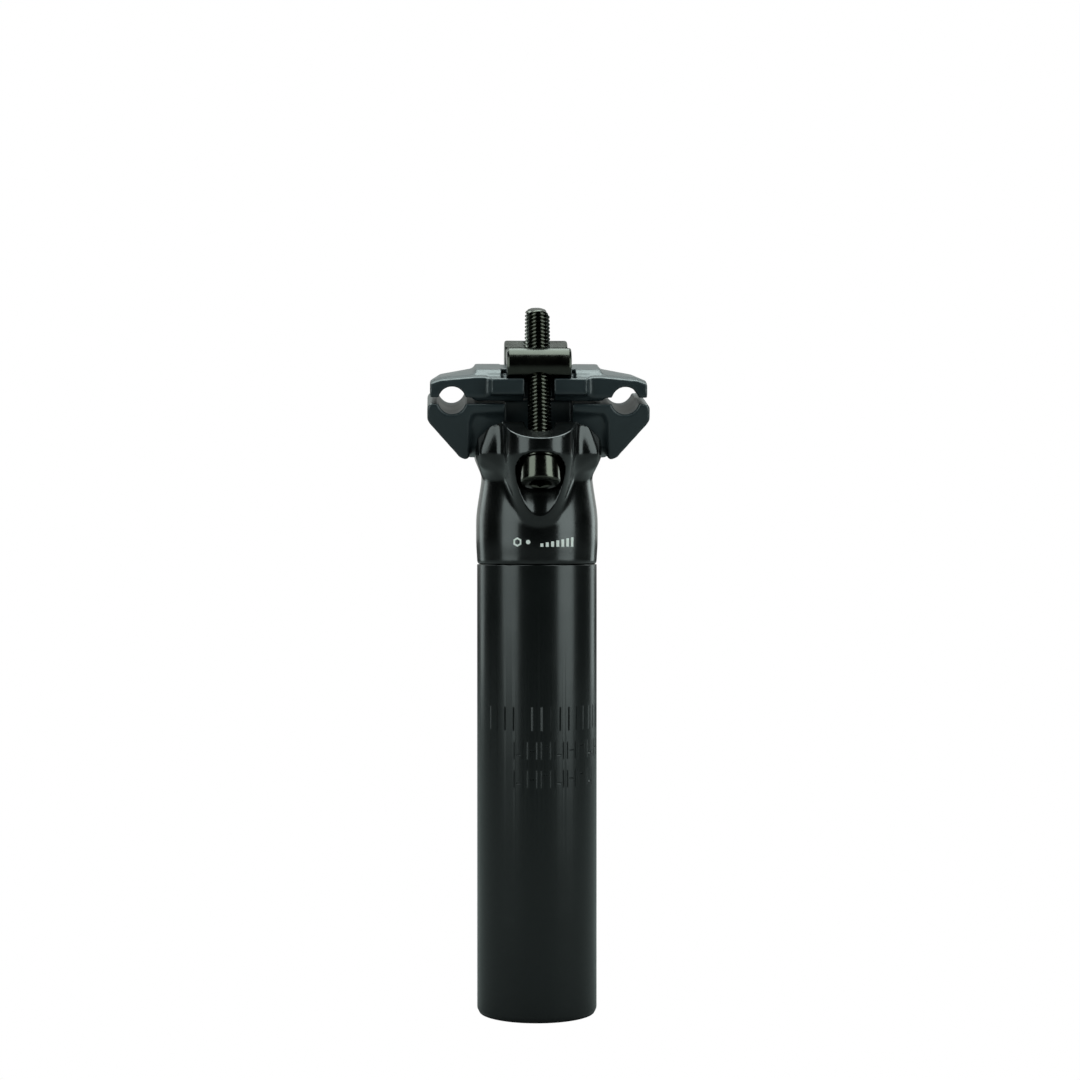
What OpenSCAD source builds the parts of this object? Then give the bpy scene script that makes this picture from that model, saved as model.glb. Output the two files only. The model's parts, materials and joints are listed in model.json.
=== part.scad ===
// Two-bolt seatpost with a micro-adjust saddle clamp. Origin: centre of the tube's bottom end.
// +Z runs up the tube, -Y is the front of the bicycle and +X is to the right seen from the front.

/* [Tube] */
// Outer diameter of the tube, the size that the frame's seat tube takes
tube_d = 30.9; // [25.4:0.1:34.9]
// Wall thickness of the tube
tube_wall = 2.3; // [1.6:0.1:3]
// Length of the tube below the head
tube_len = 115.85; // [100:0.05:300]
// Height of the minimum insertion marks, at their lower end
mark_z = 74; // [40:1:85]
// Height of each insertion mark
mark_h = 6; // [3:0.5:10]

/* [Head] */
// Largest half-width of the skirt under the bolt bosses
skirt_r = 15.73; // [15.5:0.01:17]
// Half-width of the neck at its waist
waist_r = 14.22; // [13.5:0.01:15]
// Half-width of the crown
crown_half_w = 16.15; // [15:0.05:16.5]
// Radius of the round column that carries each bolt
boss_r = 9; // [8:0.1:12]
// Radius of the trough that the clamp rocks in
trough_r = 16.2; // [16.15:0.01:16.4]

/* [Clamp] */
// Height of the tilt axis, which is the rails' centre line
tilt_z = 159.5; // [158:0.5:162]
// Tilt of the clamp at rest, front end down
rest_tilt = 10; // [4:1:14]
// Radius of a saddle rail
rail_r = 3.5; // [3.5:0.5:4]
// Distance of each rail from the middle
rail_x = 22; // [21:0.5:23]
// Half the length of the clamp along the rails
clamp_half_l = 12; // [10:0.5:14]
// Radius of the cradle's rocking underside
barrel_r = 16.1; // [16:0.01:16.15]

/* [Fasteners] */
// Thread diameter of the clamp bolts
bolt_d = 6; // [6:1:6]
// Length of a bolt under its head
bolt_len = 40; // [38:1:45]
// Distance of each bolt head's outer face from the tube's axis
seat_y = 20.8; // [20:0.1:21.5]
// Height of the front bolt head's outer face
front_seat_z = 136.3; // [135:0.1:138]
// Height of the rear bolt head's outer face
rear_seat_z = 139.3; // [138:0.1:141]
// Distance of each barrel nut from the middle of the clamp
nut_y = 9.4; // [9:0.1:10]
// Height of each barrel nut over the rails' centre line
nut_z = 8.8; // [8:0.1:10]
// Diameter of a barrel nut
nut_d = 9; // [8.5:0.5:9.5]

/* [Hidden] */
$fn = 64;
eps = 0.01;

tube_r = tube_d / 2;
bore_r = tube_r - tube_wall;
end_chamfer = 0.55;
end_chamfer_h = 1.2;
seam_chamfer = 0.15;
mark_step = 9;
mark_first = -52;
mark_count = 21;
mark_w = 0.5;
mark_deep = 0.3;

spigot_len = 24;
spigot_bore_r = 9;
boss_foot_r = 6.2;
boss_foot_y = 10.8;
boss_head_y = 15.6;
boss_foot_z = 126;
boss_slope = 25;
front_rim_z = 147.5;
rear_rim_z = front_rim_z + rear_seat_z - front_seat_z;
pocket_r = 6.1;
shank_slot_r = 3.7;
key_r = 5;

head_h = bolt_d;
head_r = 5;
hex_af = 5;
hex_deep = 3.2;
dome_r = 8.6;
dome_gap = 0.1;
washer_r = 5.6;
washer_hole_r = 3.25;
washer_gap = 0.05;
nut_len = 16.4;
nut_flat = 3.65;
nut_bore_r = 3.3;
nut_gap = 0.08;

cradle_top = -0.8;
clamp_bottom = 0.75;
wing_in = 17.55;
wing_out = 28.3;
rail_chamfer = 0.5;
finger_y = 14.2;
finger_in = 3.8;
finger_out = 12.2;
finger_low = 1.9;
finger_top = 5.9;
deck_top = 7.4;
deck_edge = 6.6;

// Centre of a nut, as [y, z] in the frame of the part
function nut_at(side) = [
    side * nut_y * cos(rest_tilt) - nut_z * sin(rest_tilt),
    tilt_z + side * nut_y * sin(rest_tilt) + nut_z * cos(rest_tilt)
];
// Middle of a bolt head's outer face, as [y, z]; side is -1 at the front and 1 at the rear
function seat_at(side) = [side * seat_y, side < 0 ? front_seat_z : rear_seat_z];
// Lean of a bolt about the X axis, from straight up
function lean(side) = atan2(seat_at(side)[0] - nut_at(side)[0], nut_at(side)[1] - seat_at(side)[1]);

// Puts children drawn along +Z from their origin on a bolt's axis, from the head's outer face
module on_bolt(side) {
    translate([0, seat_at(side)[0], seat_at(side)[1]])
        rotate([lean(side), 0, 0])
            children();
}

// Puts children drawn level about the tilt axis where the clamp holds the rails
module on_clamp() {
    translate([0, 0, tilt_z])
        rotate([rest_tilt, 0, 0])
            children();
}

// Extrudes a side view, drawn as [y, z], from x_low to x_high
module side_slab(x_low, x_high) {
    translate([x_low, 0, 0])
        rotate([90, 0, 90])
            linear_extrude(x_high - x_low)
                children();
}

// Extrudes a front view, drawn as [x, z], to half_l each way along Y
module front_slab(half_l) {
    translate([0, half_l, 0])
        rotate([90, 0, 0])
            linear_extrude(2 * half_l)
                children();
}

// A cylinder along X, centred
module cross_pin(r, length) {
    rotate([0, 90, 0])
        cylinder(r = r, h = length, center = true);
}

// The minimum insertion marks: upright cuts round half of the tube
module insertion_marks() {
    for (i = [0 : mark_count - 1])
        rotate([0, 0, mark_first + i * mark_step])
            translate([-(i == 0 ? 3 : 1) * mark_w / 2, -tube_r - 1, mark_z])
                cube([(i == 0 ? 3 : 1) * mark_w, 1 + mark_deep, mark_h]);
}

module tube() {
    color("#1b1d1f")
        difference() {
            rotate_extrude()
                polygon([
                    [bore_r, 0],
                    [tube_r - end_chamfer, 0],
                    [tube_r, end_chamfer_h],
                    [tube_r, tube_len - seam_chamfer],
                    [tube_r - seam_chamfer, tube_len],
                    [bore_r, tube_len]
                ]);
            insertion_marks();
        }
}

// The round lower part of the head, with the spigot that is bonded into the tube
module neck() {
    rotate_extrude()
        polygon([
            [0, tube_len - spigot_len],
            [bore_r - 0.8, tube_len - spigot_len],
            [bore_r, tube_len - spigot_len + 1.5],
            [bore_r, tube_len],
            [tube_r - seam_chamfer, tube_len],
            [tube_r, tube_len + seam_chamfer],
            [skirt_r, tube_len + 6],
            [skirt_r, tube_len + 11],
            [skirt_r - 0.5, tube_len + 15],
            [waist_r + 0.34, tube_len + 20],
            [waist_r, tube_len + 24],
            [waist_r, tube_len + 28],
            [0, tube_len + 28]
        ]);
}

// The wide top of the head, before the trough is cut: straight cheeks with bevelled corners
module crown() {
    lip_z = 151.6;
    hull() {
        translate([0, 0, lip_z])
            cube([2 * 12.3, 2 * 14.3, eps], center = true);
        translate([0, 0, 143.7])
            cube([2 * 15.6, 2 * 14.8, eps], center = true);
        translate([0, 0, (lip_z + 143.4) / 2])
            cube([2 * crown_half_w, 2 * 9.5, lip_z - 143.4], center = true);
        translate([0, 0, tube_len + 23])
            cylinder(r = waist_r, h = eps, $fn = 32);
    }
}

// A bolt's column, leaning out from the skirt to its upright rim and cut off by a falling plane
module boss(side, rim_z) {
    lip = boss_head_y + boss_r;
    difference() {
        hull() {
            translate([0, side * boss_foot_y, boss_foot_z])
                cylinder(r = boss_foot_r, h = eps, $fn = 48);
            translate([0, side * boss_head_y, rim_z - 4])
                cylinder(r = boss_r, h = 10, $fn = 48);
            translate([0, side, boss_foot_z])
                cylinder(r = boss_r, h = 20, $fn = 48);
        }
        translate([0, side * lip, rim_z])
            rotate([-side * boss_slope, 0, 0])
                translate([-20, -40, 0])
                    cube([40, 80, 30]);
    }
}

// Everything that a bolt needs cut out of the head: pocket, domed seat, shank slot and key scallop
module bolt_room(side) {
    on_bolt(side) {
        translate([0, 0, -14])
            cylinder(r = pocket_r, h = 14 + head_h);
        intersection() {
            sphere(r = dome_r + dome_gap, $fn = 96);
            cylinder(r = pocket_r, h = 20);
        }
        cylinder(r = shank_slot_r, h = 40);
        translate([-shank_slot_r, side < 0 ? 0 : -8, 14])
            cube([2 * shank_slot_r, 8, 30]);
    }
    translate([0, side * (15.2 + key_r), seat_at(side)[1] + 1.5])
        rotate([side * 11.5, 0, 0])
            translate([0, 0, -14])
                cylinder(r = key_r, h = 14);
}

module head() {
    color("#17191b")
        difference() {
            union() {
                neck();
                crown();
                boss(-1, front_rim_z);
                boss(1, rear_rim_z);
            }
            translate([0, 0, tilt_z])
                cross_pin(trough_r, 60);
            bolt_room(-1);
            bolt_room(1);
            translate([0, 0, tube_len - spigot_len - 1])
                cylinder(r = spigot_bore_r, h = spigot_len + 8);
        }
}

// The bores that hold the two saddle rails, with a small chamfer at each end
module rail_bores() {
    for (x = [-rail_x, rail_x])
        translate([x, 0, 0])
            rotate([90, 0, 0]) {
                cylinder(r = rail_r, h = 2 * clamp_half_l + 2, center = true);
                for (end = [0, 1])
                    mirror([0, 0, end])
                        translate([0, 0, clamp_half_l - rail_chamfer])
                            cylinder(r1 = rail_r, r2 = rail_r + rail_chamfer + eps, h = rail_chamfer + eps);
            }
}

// A hanging triangular wing of the cradle, on the right
module cradle_wing() {
    front_slab(clamp_half_l)
        polygon([
            [wing_in, cradle_top],
            [wing_out - 0.6, cradle_top],
            [wing_out, cradle_top - 0.6],
            [wing_out, -5.2],
            [19.7, -14.7],
            [19, -15.05],
            [wing_in + 0.4, -15.05],
            [wing_in, -14.6]
        ]);
}

module cradle() {
    notch_y = 7.6;
    hollow_y = 5;
    color("#26292c")
        on_clamp()
            difference() {
                union() {
                    intersection() {
                        cross_pin(barrel_r, 2 * wing_in + eps);
                        translate([-wing_in - eps, -clamp_half_l + 1.2, -20])
                            cube([2 * (wing_in + eps), 2 * (clamp_half_l - 1.2), 20 + cradle_top]);
                    }
                    translate([-wing_in - eps, -clamp_half_l, -3.7])
                        cube([2 * (wing_in + eps), 2 * clamp_half_l, 3.7 + cradle_top]);
                    cradle_wing();
                    mirror([1, 0, 0])
                        cradle_wing();
                }
                for (side = [0, 1])
                    mirror([0, side, 0]) {
                        translate([-4.4, notch_y, -20])
                            cube([8.8, 20, 30]);
                        translate([-8.6, hollow_y, -9])
                            cube([17.2, 20, 30]);
                    }
                rail_bores();
            }
}

// The side view of an upper wing at one station: flat in front and crowned on top
module wing_section(half, edge, crest) {
    polygon([
        [-half, clamp_bottom],
        [half, clamp_bottom],
        [half, edge],
        [half - 3.5, crest],
        [3.5 - half, crest],
        [-half, edge]
    ]);
}

// An upper wing, on the right: full width as far as the rail, and rounded off past it
module upper_wing() {
    hull() {
        side_slab(13, 16)
            wing_section(clamp_half_l, 5.9, 6.7);
        side_slab(24.5, 25.5)
            wing_section(clamp_half_l - 0.4, 4.9, 5.2);
        side_slab(27, 27.6)
            wing_section(clamp_half_l - 5, 3.9, 4.2);
    }
}

module upper_clamp() {
    notch_half = 9.4;
    web = 4.9;
    color("#26292c")
        on_clamp()
            difference() {
                union() {
                    side_slab(-16, 16)
                        polygon([
                            [-8.8, clamp_bottom],
                            [8.8, clamp_bottom],
                            [8.8, deck_edge],
                            [6.5, deck_top],
                            [-6.5, deck_top],
                            [-8.8, deck_edge]
                        ]);
                    side_slab(-finger_out, finger_out)
                        polygon([
                            [-10, clamp_bottom],
                            [10, clamp_bottom],
                            [finger_y, finger_low],
                            [finger_y, finger_top],
                            [-finger_y, finger_top],
                            [-finger_y, finger_low]
                        ]);
                    upper_wing();
                    mirror([1, 0, 0])
                        upper_wing();
                }
                for (side = [0, 1])
                    mirror([0, side, 0]) {
                        translate([-notch_half, web, finger_top])
                            cube([2 * notch_half, 20, 10]);
                        translate([0, nut_y, nut_z])
                            cross_pin(nut_d / 2 + nut_gap, 2 * notch_half);
                        translate([-finger_in, 5.9, -5])
                            cube([2 * finger_in, 20, 20]);
                    }
                rail_bores();
            }
}

// Domed washer under a bolt's head, which lets the bolt swing as the clamp is tilted
module domed_washer(side) {
    color("#3a3c3e")
        on_bolt(side)
            difference() {
                intersection() {
                    sphere(r = dome_r, $fn = 96);
                    translate([0, 0, head_h + washer_gap])
                        cylinder(r = washer_r, h = 6);
                }
                cylinder(r = washer_hole_r, h = 20);
            }
}

// Socket-head cap screw, from its head's outer face up to its tip
module cap_screw(side) {
    color("#141517")
        on_bolt(side)
            difference() {
                rotate_extrude()
                    polygon([
                        [0, 0],
                        [head_r - 0.5, 0],
                        [head_r, 0.5],
                        [head_r, head_h],
                        [bolt_d / 2, head_h],
                        [bolt_d / 2, head_h + bolt_len - 0.8],
                        [bolt_d / 2 - 0.8, head_h + bolt_len],
                        [0, head_h + bolt_len]
                    ]);
                translate([0, 0, -1])
                    cylinder(d = hex_af / cos(30), h = hex_deep + 1, $fn = 6);
            }
}

// Barrel nut that lies across the upper clamp, with flats where the bolt passes through
module barrel_nut(side) {
    color("#1c1d1f")
        translate([0, nut_at(side)[0], nut_at(side)[1]])
            rotate([lean(side), 0, 0])
                difference() {
                    intersection() {
                        rotate([0, 90, 0])
                            rotate_extrude()
                                polygon([
                                    [0, -nut_len / 2],
                                    [nut_d / 2 - 0.5, -nut_len / 2],
                                    [nut_d / 2, 0.5 - nut_len / 2],
                                    [nut_d / 2, nut_len / 2 - 0.5],
                                    [nut_d / 2 - 0.5, nut_len / 2],
                                    [0, nut_len / 2]
                                ]);
                        cube([nut_len + 1, nut_d + 1, 2 * nut_flat], center = true);
                    }
                    cylinder(r = nut_bore_r, h = 20, center = true);
                }
}

module front_washer() {
    domed_washer(-1);
}

module rear_washer() {
    domed_washer(1);
}

module front_bolt() {
    cap_screw(-1);
}

module rear_bolt() {
    cap_screw(1);
}

module front_nut() {
    barrel_nut(-1);
}

module rear_nut() {
    barrel_nut(1);
}

tube();
head();
cradle();
upper_clamp();
front_washer();
rear_washer();
front_bolt();
rear_bolt();
front_nut();
rear_nut();
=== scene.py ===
"""Looks of a two-bolt seatpost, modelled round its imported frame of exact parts.

A piece is shaped in millimetres and finished in metres. +Z runs up the tube, -Y is the front of
the bicycle, and +X is to the right seen from the front.
"""

import json
import logging
import math
from dataclasses import dataclass, field
from enum import Enum
from typing import Any, Iterable, Sequence

import bmesh
import bpy
from mathutils import Matrix, Vector


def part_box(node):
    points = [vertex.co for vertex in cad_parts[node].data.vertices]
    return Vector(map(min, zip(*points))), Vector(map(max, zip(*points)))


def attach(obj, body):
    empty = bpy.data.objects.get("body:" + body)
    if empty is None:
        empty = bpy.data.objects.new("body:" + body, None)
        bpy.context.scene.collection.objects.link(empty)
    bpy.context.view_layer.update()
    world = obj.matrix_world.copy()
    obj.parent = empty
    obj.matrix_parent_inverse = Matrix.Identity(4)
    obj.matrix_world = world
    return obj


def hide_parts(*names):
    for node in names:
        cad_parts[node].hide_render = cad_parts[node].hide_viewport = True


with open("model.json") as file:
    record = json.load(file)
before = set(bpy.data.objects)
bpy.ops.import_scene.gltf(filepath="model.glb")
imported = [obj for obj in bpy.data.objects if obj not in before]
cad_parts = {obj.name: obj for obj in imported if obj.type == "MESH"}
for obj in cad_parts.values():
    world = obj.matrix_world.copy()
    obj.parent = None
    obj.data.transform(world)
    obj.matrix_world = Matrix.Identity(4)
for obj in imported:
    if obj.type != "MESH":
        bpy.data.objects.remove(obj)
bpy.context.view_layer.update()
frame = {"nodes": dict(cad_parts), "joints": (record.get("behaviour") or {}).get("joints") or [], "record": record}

LOG = logging.getLogger("seatpost")
MM = 0.001
METRES_TO_MM = 1000.0
# A saddle's rails, in millimetres: how far they lie either side of the middle, their radius, and
# the straight length that is cut for them.
RAIL_X = 22.0
RAIL_R = 3.5
RAIL_LENGTH = 60.0

BMesh = bmesh.types.BMesh
Point2 = tuple[float, float]
Point3 = tuple[float, float, float]


# ---------------------------------------------------------------- places taken from the frame


@dataclass(frozen=True)
class Hinge:
    """A joint of the frame: a point on its axis in millimetres, and the axis's direction."""

    at: Vector
    along: Vector


def hinge(name: str) -> Hinge:
    """Finds a joint of the frame.

    Args:
        name: the joint's name.

    Returns:
        Its place and direction at rest.
    """
    joint = next(j for j in frame["joints"] if j["name"] == name)
    return Hinge(Vector(joint["pos_m"]) * METRES_TO_MM, Vector(joint["axis"]).normalized())


class End(Enum):
    """The two ends of the clamp, as signs along Y."""

    FRONT = -1
    REAR = 1

    @property
    def word(self) -> str:
        """The end's name in lower case."""
        return self.name.lower()


def upright_to(place: Vector, direction: Vector) -> Matrix:
    """Returns the matrix that stands +Z of a local drawing along a direction in the YZ plane."""
    lean = math.atan2(-direction.y, direction.z)
    return Matrix.Translation(place) @ Matrix.Rotation(lean, 4, "X")


def bolt_axis(end: End) -> Matrix:
    """Returns the matrix that puts a drawing on a bolt's axis, from its head's outer face."""
    return upright_to(hinge(f"{end.word}_bolt_swing").at, hinge(f"{end.word}_bolt_turn").along)


def nut_axis(end: End) -> Matrix:
    """Returns the matrix that puts a drawing on a nut's centre, with +Z along its bolt."""
    return upright_to(hinge(f"{end.word}_nut_pivot").at, hinge(f"{end.word}_bolt_turn").along)


def clamp_place() -> Matrix:
    """Returns the matrix that puts a level drawing about the tilt axis where the clamp is."""
    rail = next(m for m in frame["record"]["mounts"] if m["name"] == "left_rail_clamp")
    tilt = math.atan2(rail["axis"][2], rail["axis"][1])
    return Matrix.Translation(hinge("saddle_tilt").at) @ Matrix.Rotation(tilt, 4, "X")


# ---------------------------------------------------------------- shaping with bmesh


def revolve(bm: BMesh, profile: Sequence[Point2], steps: int = 96, ring: bool = False) -> None:
    """Spins a profile about Z into a closed solid.

    Args:
        bm: the mesh to add to.
        profile: points as (radius, height).
        steps: how many faces go round.
        ring: whether the profile closes on itself, as a tube's does.
    """
    verts = [bm.verts.new((r, 0.0, z)) for r, z in profile]
    pairs = list(zip(verts, verts[1:])) + ([(verts[-1], verts[0])] if ring else [])
    edges = [bm.edges.new(pair) for pair in pairs]
    bmesh.ops.spin(
        bm, geom=verts + edges, cent=(0, 0, 0), axis=(0, 0, 1), angle=2 * math.pi,
        steps=steps, use_merge=True, use_duplicate=False,
    )
    bmesh.ops.remove_doubles(bm, verts=bm.verts, dist=1e-4)
    bmesh.ops.recalc_face_normals(bm, faces=bm.faces)


class View(Enum):
    """The plane that an outline is drawn in, and how its points stand in space."""

    FRONT = "xz"
    SIDE = "yz"

    def stand(self, point: Point2, level: float) -> Vector:
        """Returns a drawn point in space, at a level along the view's own direction."""
        a, b = point
        return Vector((a, level, b)) if self is View.FRONT else Vector((level, a, b))


def prism(bm: BMesh, outline: Sequence[Point2], view: View, low: float, high: float) -> None:
    """Extrudes an outline between two levels of its view's direction.

    Args:
        bm: the mesh to add to.
        outline: the corners, in order.
        view: the plane that they are drawn in.
        low: the first level.
        high: the last level.
    """
    base = bm.faces.new([bm.verts.new(view.stand(p, low)) for p in outline])
    out = bmesh.ops.extrude_face_region(bm, geom=[base], use_keep_orig=True)
    moved = [g for g in out["geom"] if isinstance(g, bmesh.types.BMVert)]
    bmesh.ops.translate(bm, verts=moved, vec=view.stand((0, 0), high - low))
    bmesh.ops.recalc_face_normals(bm, faces=bm.faces)


def rod(bm: BMesh, radius: float, length: float, place: Matrix) -> None:
    """Adds a cylinder standing on its own origin.

    Args:
        bm: the mesh to add to.
        radius: its radius.
        length: its length along its own +Z.
        place: where it stands.
    """
    bmesh.ops.create_cone(
        bm, cap_ends=True, segments=96, radius1=radius, radius2=radius, depth=length,
        matrix=place @ Matrix.Translation((0, 0, length / 2)),
    )


def block(bm: BMesh, low: Sequence[float], high: Sequence[float], place: Matrix) -> None:
    """Adds a box between two corners of its own drawing."""
    middle = (Vector(low) + Vector(high)) / 2
    size = Vector(high) - Vector(low)
    matrix = place @ Matrix.Translation(middle) @ Matrix.Diagonal((*size, 1.0))
    bmesh.ops.create_cube(bm, size=1.0, matrix=matrix)


def wrap(bm: BMesh, points: Iterable[Sequence[float]]) -> None:
    """Adds the convex solid round some points."""
    verts = [bm.verts.new(p) for p in points]
    out = bmesh.ops.convex_hull(bm, input=verts, use_existing_faces=False)
    inner = {g for g in out["geom_interior"] if isinstance(g, bmesh.types.BMVert)}
    bmesh.ops.delete(bm, geom=list(inner), context="VERTS")
    bmesh.ops.recalc_face_normals(bm, faces=bm.faces)


def disc(radius: float, x: float, y: float, z: float, count: int = 48) -> list[Point3]:
    """Returns points round a level circle."""
    turn = 2 * math.pi / count
    return [(x + radius * math.cos(i * turn), y + radius * math.sin(i * turn), z) for i in range(count)]


def arc(radius: float, centre: Point2, start: float, end: float, count: int) -> list[Point2]:
    """Returns points along an arc, from one angle in degrees to another."""
    angles = [math.radians(start + (end - start) * i / count) for i in range(count + 1)]
    return [(centre[0] + radius * math.cos(a), centre[1] + radius * math.sin(a)) for a in angles]


def rail_cutter(x: float) -> BMesh:
    """Returns the cutter for one rail's groove, in the clamp's own level drawing."""
    bm = fresh()
    lay = Matrix.Translation((x, RAIL_LENGTH / 2, 0)) @ Matrix.Rotation(math.pi / 2, 4, "X")
    rod(bm, RAIL_R, RAIL_LENGTH, lay)
    return bm


def ease(t: float) -> float:
    """Returns 0 to 1 with level ends, for a swelling between two radii."""
    t = min(1.0, max(0.0, t))
    return t * t * (3 - 2 * t)


class Blank:
    """A metal blank on its way to being a piece, in millimetres."""

    def __init__(self, bm: BMesh, name: str) -> None:
        """Makes the blank's object from a finished bmesh, which it frees."""
        mesh = bpy.data.meshes.new(name)
        bm.to_mesh(mesh)
        bm.free()
        self.obj = bpy.data.objects.new(name, mesh)
        bpy.context.scene.collection.objects.link(self.obj)

    def _work(self, kind: str, **settings: Any) -> "Blank":
        """Adds a modifier with its settings, and makes its result the mesh."""
        modifier = self.obj.modifiers.new(kind.lower(), kind)
        for key, value in settings.items():
            setattr(modifier, key, value)
        shown = self.obj.evaluated_get(bpy.context.evaluated_depsgraph_get())
        old = self.obj.data
        self.obj.data = bpy.data.meshes.new_from_object(shown)
        self.obj.data.name = self.obj.name
        self.obj.modifiers.clear()
        bpy.data.meshes.remove(old)
        return self

    def melt(self, voxel: float) -> "Blank":
        """Fuses whatever overlaps into one even skin."""
        return self._work("REMESH", mode="VOXEL", voxel_size=voxel, adaptivity=0.0)

    def swell(self, distance: float) -> "Blank":
        """Moves the skin outwards, or inwards if negative."""
        return self._work("DISPLACE", strength=distance, mid_level=0.0, direction="NORMAL")

    def relax(self, times: int) -> "Blank":
        """Evens the skin, which rounds its edges."""
        return self._work("SMOOTH", iterations=times, factor=0.5)

    def _join(self, other: BMesh, operation: str) -> "Blank":
        """Cuts with, adds or keeps only what another closed solid covers."""
        tool = Blank(other, "tool")
        self._work("BOOLEAN", operation=operation, object=tool.obj, solver="MANIFOLD")
        tool.scrap()
        return self

    def cut(self, other: BMesh) -> "Blank":
        """Takes another solid away."""
        return self._join(other, "DIFFERENCE")

    def add(self, other: BMesh) -> "Blank":
        """Fuses another solid on, edges kept."""
        return self._join(other, "UNION")

    def scrap(self) -> None:
        """Removes the blank and its mesh."""
        mesh = self.obj.data
        bpy.data.objects.remove(self.obj)
        bpy.data.meshes.remove(mesh)

    def fill_creases(self, radius: float, voxel: float) -> "Blank":
        """Fills inner corners with a radius, as a forging die does, and leaves the rest."""
        return self.swell(radius).melt(voxel).swell(-radius).melt(voxel)

    def finish(self, place: Matrix, crease: float | None = None) -> bpy.types.Object:
        """Puts the piece in place in metres and shades it.

        Args:
            place: where the drawing stands, in millimetres.
            crease: the angle in degrees past which an edge stays sharp, or None for none.

        Returns:
            The finished object, at the origin, with its place in its mesh.
        """
        mesh = self.obj.data
        mesh.transform(Matrix.Scale(MM, 4) @ place)
        bm = bmesh.new()
        bm.from_mesh(mesh)
        bmesh.ops.recalc_face_normals(bm, faces=bm.faces)
        for face in bm.faces:
            face.smooth = True
        for edge in bm.edges:
            flat = len(edge.link_faces) == 2 and edge.calc_face_angle(0.0) < math.radians(crease or 180)
            edge.smooth = crease is None or flat
        bm.to_mesh(mesh)
        bm.free()
        return self.obj


def fresh() -> BMesh:
    """Returns an empty bmesh."""
    return bmesh.new()


# ---------------------------------------------------------------- finishes


def linear(code: str) -> tuple[float, float, float, float]:
    """Turns an sRGB hex colour into linear values.

    Args:
        code: six hex digits, with or without a leading #.

    Returns:
        Red, green and blue from 0 to 1, and an alpha of 1.
    """
    parts = [int(code.lstrip("#")[i:i + 2], 16) / 255 for i in (0, 2, 4)]
    red, green, blue = (p / 12.92 if p <= 0.04045 else ((p + 0.055) / 1.055) ** 2.4 for p in parts)
    return red, green, blue, 1.0


def add_node(tree: bpy.types.NodeTree, kind: str, links: dict[str, Any], **settings: Any) -> bpy.types.Node:
    """Adds a shader node.

    Args:
        tree: the node tree.
        kind: the node's type name, without its ShaderNode prefix.
        links: what goes into each input: a value, or an output socket of another node.
        settings: properties of the node itself.

    Returns:
        The node.
    """
    made = tree.nodes.new("ShaderNode" + kind)
    for key, value in settings.items():
        setattr(made, key, value)
    for key, value in links.items():
        if isinstance(value, bpy.types.NodeSocket):
            tree.links.new(value, made.inputs[key])
        else:
            made.inputs[key].default_value = value
    return made


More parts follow.
